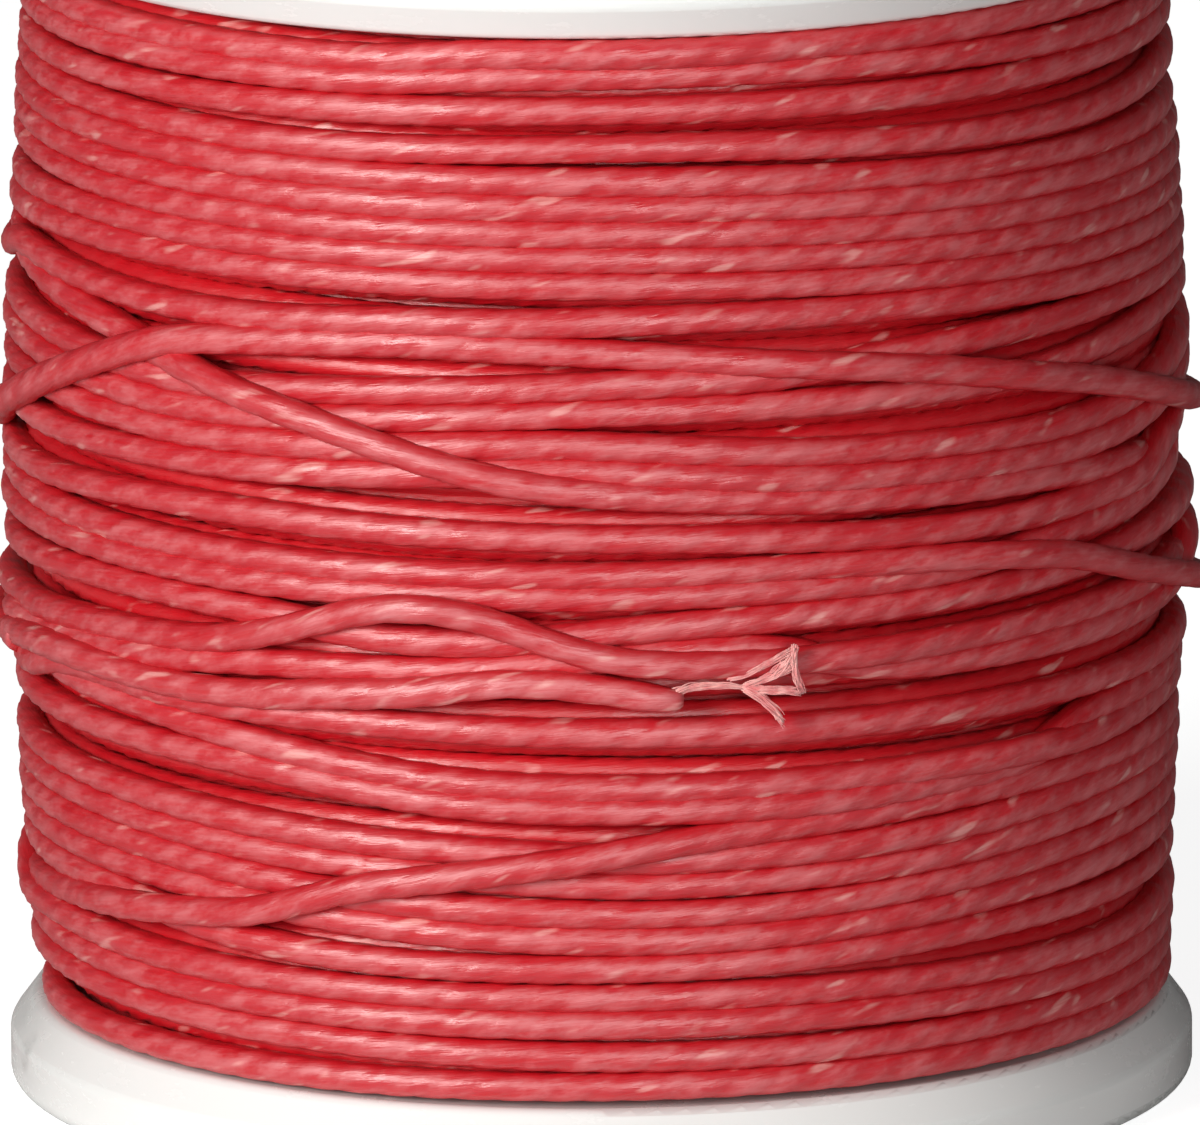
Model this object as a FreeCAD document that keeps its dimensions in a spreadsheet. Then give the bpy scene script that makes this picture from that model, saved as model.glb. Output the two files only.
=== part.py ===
import FreeCAD, Part
import Sketcher
import math
import os

# A small spool of waxed cord, standing on its lower flange: +Z runs up the spindle axis,
# the origin is the centre of the face it stands on, and -Y is the side with the loose end.

DRIVING_SIZES = (
    ("rim_radius", 20.0, "outside of both flanges"),
    ("rim_height", 3.0, "flange thickness at the rim"),
    ("traverse", 36.0, "room for cord between the flanges"),
    ("bevel_width", 0.9, "shoulder of the rim, radially"),
    ("bevel_height", 1.2, "shoulder of the rim, along the axis"),
    ("rim_rounding", 0.5, "rounding of the rim's edges"),
    ("rim_wall", 2.2, "radial thickness of the rim below the web"),
    ("web_thickness", 1.6, "plate between rim and hub"),
    ("hub_radius", 6.0, "outside of the spindle sleeve"),
    ("bore_radius", 4.0, "hole for the spindle"),
    ("spigot_length", 5.0, "how far sleeve and spigot reach into the barrel"),
    ("spigot_wall", 1.4, "wall of the spigot that centres the barrel"),
    ("barrel_radius", 11.0, "outside of the barrel"),
    ("barrel_wall", 1.5, "wall of the barrel"),
    ("fit_clearance", 0.05, "spigot to barrel and barrel to cord, radially"),
    ("label_thickness", 0.2, "paper ring in the flange's recess"),
    ("label_margin", 0.5, "paper ring to recess wall"),
    ("cord_diameter", 1.0, "the waxed cord"),
    ("layer_clearance", 0.1, "between cord and what it lies on"),
    ("winding_inset", 0.5, "outside of the winding to the rim, at the flanges"),
    ("winding_crown", 0.5, "how much fuller the winding is half way up"),
    ("turn_gap", 0.5, "least room between two turns of the outer layer"),
    ("turn_sway", 0.15, "how far a turn wanders up and down"),
    ("exit_hole_radius", 0.7, "hole in the barrel for the cord's inner end"),
    ("knot_radius", 1.1, "knot that holds the inner end"),
    ("knot_rise", 2.0, "knot above the spigot"),
    ("ply_radius", 0.2, "one of the three plies at the frayed tip"),
    ("ply_tip_radius", 0.1, "thin end of a frayed ply"),
    ("ply_length", 1.9, "length of a frayed ply"),
    ("ply_spacing", 0.28, "between the feet of two plies"),
    ("ply_start", 0.24, "the cord's cut end to the plies' feet"),
)

STEPS_PER_TURN = 4  # nodes of the turns' centreline, a quarter turn apart
SWAY_WAVES = 2  # waves in a turn; one more over all the turns makes them drift round

# The loose end's route: angle from the front in degrees, anticlockwise seen from above,
# distance from the winding's fullest round and height, in mm.
LOOSE_END = (
    (-84.0, 0.70, 15.30),
    (-74.0, 0.72, 15.85),
    (-64.0, 0.70, 16.50),
    (-54.0, 0.74, 17.25),
    (-44.5, 0.75, 18.00),
    (-35.0, 0.85, 18.65),
    (-26.0, 1.00, 19.60),
    (-16.5, 1.10, 20.40),
    (-7.5, 0.90, 19.70),
    (0.5, 0.78, 18.70),
    (7.0, 0.85, 17.90),
    (13.5, 1.05, 17.60),
)
ARC_SHARE = 0.45  # of the shorter run, taken up by the arc at each corner
PLY_FAN = (52.0, -4.0, -58.0)  # degrees of the three plies above the cord's own line

doc = FreeCAD.newDocument("thread_spool")
sizes = doc.addObject("Spreadsheet::Sheet", "sizes")
for row, (alias, number, note) in enumerate(DRIVING_SIZES, 1):
    sizes.set(f"A{row}", note)
    sizes.set(f"B{row}", str(number))
    sizes.setAlias(f"B{row}", alias)
doc.recompute()


def size(text):
    """The value in mm of an expression in the sheet's names."""
    return float(sizes.evalExpression(text))


def labelled(feature, label):
    feature.Label = label
    return feature


# Expressions that several pieces share
RECESS = "(sizes.rim_height - sizes.web_thickness)"
RIM_INSIDE = "(sizes.rim_radius - sizes.rim_wall)"
BARREL_INSIDE = "(sizes.barrel_radius - sizes.barrel_wall)"
SPIGOT_RADIUS = f"({BARREL_INSIDE} - sizes.fit_clearance)"
SPIGOT_INSIDE = f"({SPIGOT_RADIUS} - sizes.spigot_wall)"
SPIGOT_TOP = "(sizes.rim_height + sizes.spigot_length)"
OVERALL = "(2 * sizes.rim_height + sizes.traverse)"
KNOT_HEIGHT = f"({SPIGOT_TOP} + sizes.knot_rise + sizes.knot_radius)"
HALF_WINDING = "(sizes.traverse / 2 - sizes.layer_clearance)"
CROWN_RADIUS = f"(({HALF_WINDING} ^ 2 + sizes.winding_crown ^ 2) / (2 * sizes.winding_crown))"
WINDING_RADIUS = "(sizes.rim_radius - sizes.winding_inset)"
FULLEST_RADIUS = f"({WINDING_RADIUS} + sizes.winding_crown)"
LOWER_LAYERS_RADIUS = f"({WINDING_RADIUS} - sizes.cord_diameter - sizes.layer_clearance)"
TURN_SPAN = "(sizes.traverse - 2 * sizes.layer_clearance - sizes.cord_diameter)"


def new_body(label):
    """A body and the function that gives it a sketch on one of its own planes."""
    body = labelled(doc.addObject("PartDesign::Body", label), label)

    def sketch_on(role, name):
        sketch = body.newObject("Sketcher::SketchObject", name)
        plane = next(o for o in body.Origin.OriginFeatures if o.Role == role)
        sketch.AttachmentSupport = [(plane, "")]
        sketch.MapMode = "FlatFace"
        return sketch

    return body, sketch_on


def hold_point(sketch, side, end, across, up):
    """Ties one end of a sketched side to its two expressions."""
    for kind, text in (("DistanceX", across), ("DistanceY", up)):
        if text == "0":
            sketch.addConstraint(Sketcher.Constraint("PointOnObject", side, end, -1))
            continue
        number = sketch.addConstraint(Sketcher.Constraint(kind, -1, 1, side, end, size(text)))
        sketch.setExpression(f"Constraints[{number}]", text)


def draw_profile(sketch, corners, crowned_side=None):
    """A closed outline through corners given as expressions; crowned_side is an arc."""
    points = [FreeCAD.Vector(size(across), size(up), 0) for across, up in corners]
    count = len(corners)
    for side in range(count):
        start, end = points[side], points[(side + 1) % count]
        if side == crowned_side:
            middle = (start + end) * 0.5 + FreeCAD.Vector(size("sizes.winding_crown"), 0, 0)
            sketch.addGeometry(Part.Arc(start, middle, end), False)
        else:
            sketch.addGeometry(Part.LineSegment(start, end), False)
    for side in range(count):
        sketch.addConstraint(Sketcher.Constraint("Coincident", side, 2, (side + 1) % count, 1))
    for side, (across, up) in enumerate(corners):
        hold_point(sketch, side, 1, across, up)
    if crowned_side is not None:
        number = sketch.addConstraint(
            Sketcher.Constraint("Radius", crowned_side, size(CROWN_RADIUS))
        )
        sketch.setExpression(f"Constraints[{number}]", CROWN_RADIUS)


def turn_profile(body, sketch, name):
    """Turns the sketch once round the spindle axis."""
    turned = body.newObject("PartDesign::Revolution", name)
    turned.Profile = (sketch, [""])
    turned.ReferenceAxis = (sketch, ["V_Axis"])
    turned.Angle = 360.0
    sketch.Visibility = False
    doc.recompute()
    return turned


def ring_edges(shape, places):
    """The names of the circular edges at the given radii and heights."""
    names = []
    for number, edge in enumerate(shape.Edges, 1):
        if not isinstance(edge.Curve, Part.Circle):
            continue
        found = (edge.Curve.Radius, edge.Curve.Center.z)
        if any(math.dist(found, place) < 1e-4 for place in places):
            names.append(f"Edge{number}")
    return names


def make_flange(label):
    """One flange: bored hub, web with a label recess, bevelled rim and barrel spigot."""
    body, sketch_on = new_body(label)
    profile = sketch_on("XZ_Plane", f"{label}_profile")
    shoulder = "(sizes.rim_radius - sizes.bevel_width)"
    side_top = "(sizes.rim_height - sizes.bevel_height)"
    draw_profile(
        profile,
        (
            ("sizes.bore_radius", "0"),
            ("sizes.hub_radius", "0"),
            ("sizes.hub_radius", RECESS),
            (RIM_INSIDE, RECESS),
            (RIM_INSIDE, "0"),
            ("sizes.rim_radius", "0"),
            ("sizes.rim_radius", side_top),
            (shoulder, "sizes.rim_height"),
            (SPIGOT_RADIUS, "sizes.rim_height"),
            (SPIGOT_RADIUS, SPIGOT_TOP),
            (SPIGOT_INSIDE, SPIGOT_TOP),
            (SPIGOT_INSIDE, "sizes.rim_height"),
            ("sizes.hub_radius", "sizes.rim_height"),
            ("sizes.hub_radius", SPIGOT_TOP),
            ("sizes.bore_radius", SPIGOT_TOP),
        ),
    )
    turned = turn_profile(body, profile, f"{label}_turned")
    rim = size("sizes.rim_radius")
    edges = ring_edges(
        turned.Shape,
        ((rim, 0.0), (rim, size(side_top)), (size(shoulder), size("sizes.rim_height"))),
    )
    rounded = body.newObject("PartDesign::Fillet", f"{label}_rounded")
    rounded.Base = (turned, edges)
    rounded.setExpression("Radius", "sizes.rim_rounding")
    doc.recompute()
    return body


def make_flanges():
    """Two of the same moulding, face to face; the upper one is turned over."""
    make_flange("lower_flange")
    upper = make_flange("upper_flange")
    upper.Placement = FreeCAD.Placement(
        FreeCAD.Vector(0, 0, size(OVERALL)), FreeCAD.Rotation(FreeCAD.Vector(1, 0, 0), 180)
    )
    upper.setExpression("Placement.Base.z", OVERALL)


def make_barrel():
    """The tube between the flanges, with a hole for the cord's inner end."""
    body, sketch_on = new_body("barrel")
    wall = sketch_on("XZ_Plane", "barrel_wall_section")
    top = "(sizes.rim_height + sizes.traverse)"
    draw_profile(
        wall,
        (
            (BARREL_INSIDE, "sizes.rim_height"),
            ("sizes.barrel_radius", "sizes.rim_height"),
            ("sizes.barrel_radius", top),
            (BARREL_INSIDE, top),
        ),
    )
    tube = turn_profile(body, wall, "barrel_tube")
    circle = sketch_on("YZ_Plane", "exit_hole_outline")
    centre = FreeCAD.Vector(0, size(KNOT_HEIGHT), 0)
    circle.addGeometry(Part.Circle(centre, FreeCAD.Vector(0, 0, 1), size("sizes.exit_hole_radius")))
    circle.addConstraint(Sketcher.Constraint("PointOnObject", 0, 3, -2))
    for kind, number, text in (
        ("DistanceY", (-1, 1, 0, 3, size(KNOT_HEIGHT)), KNOT_HEIGHT),
        ("Radius", (0, size("sizes.exit_hole_radius")), "sizes.exit_hole_radius"),
    ):
        index = circle.addConstraint(Sketcher.Constraint(kind, *number))
        circle.setExpression(f"Constraints[{index}]", text)
    hole = body.newObject("PartDesign::Pocket", "exit_hole")
    hole.Profile = circle
    hole.Type = "Length"
    hole.setExpression("Length", "sizes.barrel_radius + sizes.barrel_wall")
    hole.Reversed = True  # cuts towards +X
    circle.Visibility = False
    doc.recompute()
    assert hole.Shape.Volume < tube.Shape.Volume, "the exit hole cuts nothing"
    return body


def make_ring(label, outside, inside, height, foot):
    """A plain ring whose four sizes are expressions."""
    disc = doc.addObject("Part::Cylinder", f"{label}_disc")
    hole = doc.addObject("Part::Cylinder", f"{label}_hole")
    for cylinder, radius in ((disc, outside), (hole, inside)):
        cylinder.setExpression("Radius", radius)
        cylinder.setExpression("Height", height)
        cylinder.setExpression("Placement.Base.z", foot)
    ring = labelled(doc.addObject("Part::Cut", label), label)
    ring.Base, ring.Tool = disc, hole
    return ring


def make_labels():
    """A paper ring stuck to the web in each flange's recess."""
    outside = f"{RIM_INSIDE} - sizes.label_margin"
    inside = "sizes.hub_radius + sizes.label_margin"
    feet = (
        ("lower_label", f"{RECESS} - sizes.label_thickness"),
        ("upper_label", f"{OVERALL} - {RECESS}"),
    )
    for label, foot in feet:
        make_ring(label, outside, inside, "sizes.label_thickness", foot)


def make_lower_layers():
    """All the layers of cord under the outer one, as one crowned ring round the barrel."""
    body, sketch_on = new_body("cord_lower_layers")
    section = sketch_on("XZ_Plane", "lower_layers_section")
    inside = "(sizes.barrel_radius + sizes.fit_clearance)"
    bottom = "(sizes.rim_height + sizes.layer_clearance)"
    top = "(sizes.rim_height + sizes.traverse - sizes.layer_clearance)"
    draw_profile(
        section,
        (
            (inside, bottom),
            (LOWER_LAYERS_RADIUS, bottom),
            (LOWER_LAYERS_RADIUS, top),
            (inside, top),
        ),
        crowned_side=1,
    )
    turn_profile(body, section, "lower_layers_turned")
    return body


def polar(angle, radius, height):
    """A place given by its angle from the front in radians, radius and height."""
    return FreeCAD.Vector(radius * math.sin(angle), -radius * math.cos(angle), height)


def outer_turn(turns, all_turns):
    """The centre of the outer layer's cord after so many turns from the lower flange."""
    span = size(TURN_SPAN)
    middle = size("sizes.rim_height + sizes.traverse / 2")
    share = turns / all_turns
    wave = math.sin(2 * math.pi * (SWAY_WAVES * turns + share)) * math.sin(math.pi * share)
    height = middle + (share - 0.5) * span + size("sizes.turn_sway") * wave
    crown_radius = size(CROWN_RADIUS)
    drop = crown_radius - math.sqrt(crown_radius**2 - (height - middle) ** 2)
    radius = size(f"{FULLEST_RADIUS} - sizes.cord_diameter / 2") - drop
    return polar(2 * math.pi * turns, radius, height)


def heading(place, turns, all_turns, step=1e-4):
    """The direction of the cord there, from two places close by."""
    return (place(turns + step, all_turns) - place(turns - step, all_turns)).normalize()


def arc_between(start, direction, end):
    """The arc that leaves start in that direction and arrives at end."""
    chord = end - start
    away = chord - direction * chord.dot(direction)
    if away.Length < 1e-7:
        return Part.LineSegment(start, end)
    radius = chord.dot(chord) / (2 * away.Length)
    centre = start + away * (radius / away.Length)
    halfway = ((start + end) * 0.5 - centre).normalize() * radius
    return Part.Arc(start, centre + halfway, end)


def biarc(start, leaving, end, arriving):
    """Two arcs that meet smoothly, from start to end with the given directions."""
    chord, both = end - start, leaving + arriving
    spread = 2 * (1 - leaving.dot(arriving))
    along = chord.dot(both)
    reach = (math.sqrt(along**2 + spread * chord.dot(chord)) - along) / spread
    meeting = (start + leaving * reach + end - arriving * reach) * 0.5
    first = arc_between(start, leaving, meeting)
    second = arc_between(end, arriving * -1, meeting)
    return first, second


def wire_of(curves):
    return Part.Wire(Part.__sortEdges__([curve.toShape() for curve in curves]))


def tube_along(path, start, direction, radius):
    """A round tube whose centre follows the path."""
    section = Part.Wire([Part.Circle(start, direction, radius).toShape()])
    shell = Part.BRepOffsetAPI.MakePipeShell(path)
    shell.add(section)
    shell.build()
    shell.makeSolid()
    return Part.Solid(shell.shape())


def least_gap(path, diameter, apart):
    """The least gap between stretches of a cord that are that far apart along it."""
    step = diameter / 2
    points = path.discretize(Distance=step)
    skip = math.ceil(apart / step)
    nearest = min(
        (points[a] - points[b]).Length
        for a in range(len(points))
        for b in range(a + skip, min(len(points), a + 3 * skip))
    )
    return nearest - diameter


def as_feature(label, shape):
    feature = labelled(doc.addObject("Part::Feature", label), label)
    feature.Shape = shape
    feature.Placement = FreeCAD.Placement()
    return feature


def make_outer_layer():
    """The outer layer as one unbroken cord, wound from the lower flange to the upper."""
    diameter = size("sizes.cord_diameter")
    all_turns = math.floor(size(f"{TURN_SPAN} / (sizes.cord_diameter + sizes.turn_gap)"))
    nodes = [step / STEPS_PER_TURN for step in range(all_turns * STEPS_PER_TURN + 1)]
    places = [outer_turn(turns, all_turns) for turns in nodes]
    headings = [heading(outer_turn, turns, all_turns) for turns in nodes]
    lead_in = places[0] - headings[0] * diameter
    lead_out = places[-1] + headings[-1] * diameter
    curves = [Part.LineSegment(lead_in, places[0])]
    for step in range(len(nodes) - 1):
        curves += biarc(places[step], headings[step], places[step + 1], headings[step + 1])
    curves.append(Part.LineSegment(places[-1], lead_out))
    path = wire_of(curves)
    gap = least_gap(path, diameter, math.pi * size(WINDING_RADIUS))
    tube = tube_along(path, lead_in, headings[0], diameter / 2)
    expected = math.pi * diameter**2 / 4 * path.Length
    print(f"outer layer: {all_turns} turns, {path.Length:.0f} mm of cord, least gap {gap:.3f} mm")
    print(f"outer layer: volume {tube.Volume:.1f}, section times length {expected:.1f} mm3")
    return as_feature("cord_outer_layer", tube)


def route_places():
    """The loose end's points as places in space."""
    fullest = size(FULLEST_RADIUS)
    return [
        polar(math.radians(angle), fullest + away, height) for angle, away, height in LOOSE_END
    ]


def rounded_route(points):
    """Straight runs joined by an arc at each inner point, and the arcs' radii."""
    curves, radii, reached = [], [], points[0]
    for before, corner, after in zip(points, points[1:], points[2:]):
        back, ahead = (before - corner), (after - corner)
        half_turn = (math.pi - back.getAngle(ahead)) / 2
        setback = ARC_SHARE * min(back.Length, ahead.Length)
        radii.append(setback / math.tan(half_turn))
        back.normalize()
        ahead.normalize()
        entry, leave = corner + back * setback, corner + ahead * setback
        inward = (back + ahead).normalize()
        nearest = corner + inward * (radii[-1] * (1 / math.cos(half_turn) - 1))
        curves += [Part.LineSegment(reached, entry), Part.Arc(entry, nearest, leave)]
        reached = leave
    curves.append(Part.LineSegment(reached, points[-1]))
    return curves, radii


def make_loose_end():
    """The cord's free outer end, lying across the front of the winding."""
    diameter = size("sizes.cord_diameter")
    points = route_places()
    curves, radii = rounded_route(points)
    path = wire_of(curves)
    tube = tube_along(path, points[0], points[1] - points[0], diameter / 2)
    expected = math.pi * diameter**2 / 4 * path.Length
    print("loose end: radii", ", ".join(f"{radius:.1f}" for radius in radii), "mm")
    print(f"loose end: {path.Length:.2f} mm long, volume {tube.Volume:.2f} of {expected:.2f} mm3")
    return as_feature("cord_loose_end", tube)


def make_frayed_plies():
    """The cord's three plies, spread apart past its cut end."""
    points = route_places()
    tip, along = points[-1], (points[-1] - points[-2]).normalize()
    outward = FreeCAD.Vector(tip.x, tip.y, 0).normalize()
    upward = along.cross(outward).normalize() * -1
    root, thin = size("sizes.ply_radius"), size("sizes.ply_tip_radius")
    middle = tip + along * size("sizes.ply_start")
    plies = []
    for place, degrees in zip((1, 0, -1), PLY_FAN):
        lean = math.radians(degrees)
        direction = along * math.cos(lean) + upward * math.sin(lean)
        foot = middle + upward * place * size("sizes.ply_spacing")
        plies.append(Part.makeCone(root, thin, size("sizes.ply_length"), foot, direction))
    return as_feature("frayed_plies", Part.makeCompound(plies))


def make_inner_end():
    """The cord's inner end: out through the barrel's hole and knotted behind it."""
    height = size(KNOT_HEIGHT)
    cord_radius, knot = size("sizes.cord_diameter") / 2, size("sizes.knot_radius")
    knot_centre = size(BARREL_INSIDE) - size("sizes.layer_clearance") - knot
    outside = size("sizes.barrel_radius")
    run = Part.makeCylinder(
        cord_radius,
        outside - knot_centre,
        FreeCAD.Vector(knot_centre, 0, height),
        FreeCAD.Vector(1, 0, 0),
    )
    ball = Part.makeSphere(knot, FreeCAD.Vector(knot_centre, 0, height))
    return as_feature("cord_inner_end", ball.fuse(run).removeSplitter())


make_flanges()
make_barrel()
make_labels()
make_lower_layers()
make_outer_layer()
make_loose_end()
make_frayed_plies()
make_inner_end()
doc.recompute()

PIECES = (
    "barrel",
    "lower_flange",
    "upper_flange",
    "lower_label",
    "upper_label",
    "cord_inner_end",
    "cord_lower_layers",
    "cord_outer_layer",
    "cord_loose_end",
    "frayed_plies",
)

for thing in doc.Objects:
    assert not {"Invalid", "Error"} & set(thing.State), f"{thing.Label} failed: {thing.State}"
os.makedirs("parts", exist_ok=True)
for label in PIECES:
    piece = doc.getObjectsByLabel(label)[0]
    assert not piece.Shape.isNull() and piece.Shape.isValid(), f"{label} has no valid shape"
    piece.Shape.exportStep(f"parts/{label}.step")
    corners = piece.Shape.optimalBoundingBox()
    print(
        f"{label}: {len(piece.Shape.Solids)} solid(s), {piece.Shape.Volume:.1f} mm3,",
        f"{corners.XLength:.2f} x {corners.YLength:.2f} x {corners.ZLength:.2f} mm",
    )
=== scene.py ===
import math

import bpy
import numpy as np
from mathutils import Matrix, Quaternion, Vector


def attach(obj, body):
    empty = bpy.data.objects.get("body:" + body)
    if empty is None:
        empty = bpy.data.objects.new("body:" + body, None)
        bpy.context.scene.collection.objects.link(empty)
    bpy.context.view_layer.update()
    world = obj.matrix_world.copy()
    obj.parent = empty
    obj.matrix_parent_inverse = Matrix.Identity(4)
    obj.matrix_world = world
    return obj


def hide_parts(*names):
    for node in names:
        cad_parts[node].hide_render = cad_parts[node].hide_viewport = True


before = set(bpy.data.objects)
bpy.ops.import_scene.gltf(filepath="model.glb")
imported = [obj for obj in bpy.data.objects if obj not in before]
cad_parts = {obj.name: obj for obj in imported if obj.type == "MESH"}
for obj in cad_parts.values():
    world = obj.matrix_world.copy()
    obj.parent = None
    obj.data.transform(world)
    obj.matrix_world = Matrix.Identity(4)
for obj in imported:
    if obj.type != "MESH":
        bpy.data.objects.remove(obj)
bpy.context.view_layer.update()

# A spool of red waxed cord, standing on its lower flange. Angles run round the spool in
# degrees: 0 is the front (-Y), 90 the right (+X) and -90 the left. Sizes are in mm until a
# mesh is made from them.

millimetre = 0.001
fullTurn = 2 * math.pi

# The camera stands well off and sees only the winding and the flanges' near edges.
camera = {
    "lens": 711.6,  # on a sensor 36 mm wide: a tight crop from a fair way off
    "distance": 800.0,
    "elevation": 12.0,
    "lean": -0.4,  # degrees about the line of sight
    "aim": (0.06, 0.0, 17.45),
}


def makeCamera(settings):
    data = bpy.data.cameras.new("camera")
    data.lens = settings["lens"]
    data.sensor_width = 36.0
    data.clip_start = 0.05
    data.clip_end = 20.0
    tilt = math.radians(settings["elevation"])
    back = Vector((0.0, -math.cos(tilt), math.sin(tilt)))
    thing = bpy.data.objects.new("camera", data)
    bpy.context.scene.collection.objects.link(thing)
    thing.location = (Vector(settings["aim"]) + back * settings["distance"]) * millimetre
    thing.rotation_mode = "QUATERNION"
    lean = Quaternion((0.0, 0.0, 1.0), math.radians(settings["lean"]))
    thing.rotation_quaternion = (-back).to_track_quat("-Z", "Y") @ lean
    bpy.context.scene.camera = thing


makeCamera(camera)
print("camera placed")


def smoothNoise(rng, count, spacing):
    # one smooth random curve, about 1 high, with a bend every so many samples
    knots = rng.normal(size=int(count / spacing) + 6)
    place = np.arange(count) / spacing + 2.0
    cell = np.floor(place).astype(int)
    f = place - cell
    before, here, after, later = (knots[cell + shift] for shift in (-1, 0, 1, 2))
    curve = before * (1 - f) ** 3 + here * (3 * f**3 - 6 * f**2 + 4)
    curve = curve + after * (-3 * f**3 + 3 * f**2 + 3 * f + 1) + later * f**3
    return curve / 4.1  # its spread is then about 1


def blurred(values, width):
    # evens the values out over about so many samples
    kernel = np.hanning(int(width) | 1)
    kernel = kernel / kernel.sum()
    half = len(kernel) // 2
    return np.convolve(np.pad(values, half, mode="edge"), kernel, "valid")


def roundTheSpool(angles, radii, heights):
    # places in mm from angles in degrees, radii and heights
    turns = np.radians(angles)
    return np.stack([radii * np.sin(turns), -radii * np.cos(turns), heights], axis=-1)


def addNode(tree, kind, inputs=(), **settings):
    made = tree.nodes.new(kind)
    for key, value in settings.items():
        setattr(made, key, value)
    for key, value in dict(inputs).items():
        if isinstance(value, bpy.types.NodeSocket):
            tree.links.new(value, made.inputs[key])
        else:
            made.inputs[key].default_value = value
    return made


def stretched(tree, vector, factors):
    # a pattern's coordinates; a small factor draws the pattern out that way
    made = addNode(tree, "ShaderNodeVectorMath", {0: vector, 1: factors}, operation="MULTIPLY")
    return made.outputs[0]


def noiseOf(tree, vector, scale, detail=2.0, roughness=0.5):
    inputs = {"Vector": vector, "Scale": scale, "Detail": detail, "Roughness": roughness}
    return addNode(tree, "ShaderNodeTexNoise", inputs).outputs["Fac"]


def between(tree, value, low, high, lowest=0.0, highest=1.0):
    # a soft ramp from the lowest to the highest as the value goes from low to high
    inputs = {0: value, 1: low, 2: high, 3: lowest, 4: highest}
    made = addNode(tree, "ShaderNodeMapRange", inputs, interpolation_type="SMOOTHSTEP")
    return made.outputs[0]


def sumOf(tree, first, second, operation="ADD"):
    made = addNode(tree, "ShaderNodeMath", {0: first, 1: second}, operation=operation)
    return made.outputs[0]


def mixColour(tree, share, first, second):
    inputs = {0: share, 6: first, 7: second}
    return addNode(tree, "ShaderNodeMix", inputs, data_type="RGBA").outputs[2]


def newMaterial(name):
    material = bpy.data.materials.new(name)
    material.use_nodes = True
    tree = material.node_tree
    return material, tree, tree.nodes["Principled BSDF"]


def feed(tree, output, shader, socket):
    tree.links.new(output, shader.inputs[socket])


def setShader(shader, **numbers):
    for name, value in numbers.items():
        shader.inputs[name.replace("_", " ")].default_value = value


def bumpFrom(tree, shader, height, distance, strength=1.0):
    inputs = {"Height": height, "Distance": distance, "Strength": strength}
    feed(tree, addNode(tree, "ShaderNodeBump", inputs).outputs[0], shader, "Normal")


# Colour and surface of the waxed cord. The patterns are given by how they are drawn out, first
# along the cord and then twice across it, to the mm.
waxedFinish = {
    "deep": (0.56, 0.003, 0.010, 1),
    "body": (0.56, 0.026, 0.038, 1),
    "bloomAndSheen": (0.70, 0.18, 0.19, 1),  # where the wax has turned pale, and painted sheen
    # painted highlight: the colour of the wax's pale glints
    "glint": (0.86, 0.42, 0.38, 1),
    "bloomAndSheenShare": 0.62,
    "glintShare": 0.6,
    "wornPaleAndHighlight": 0.55,  # how much paler a worn stretch gets; on stretches that ride high it is painted highlight
    "sideShade": 0.9,  # painted shade: how deep the colour is where turns touch
    "lean": -0.35,  # how the blotches wind round the cord
    "fibres": (0.55, 8.0, 8.0),
    "hairs": (2.0, 21.0, 21.0),
    "blotches": (0.8, 1.7, 1.7),
    "drift": (0.10, 0.2, 0.2),
    "glints": (0.6, 2.0, 2.0),
    "groove": (0.49, 0.44),  # mm from the cord's middle where a groove starts and is deepest
    "roughness": (0.34, 0.54),
    "fibreHeight": 0.000035,  # in metres
}


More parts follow.
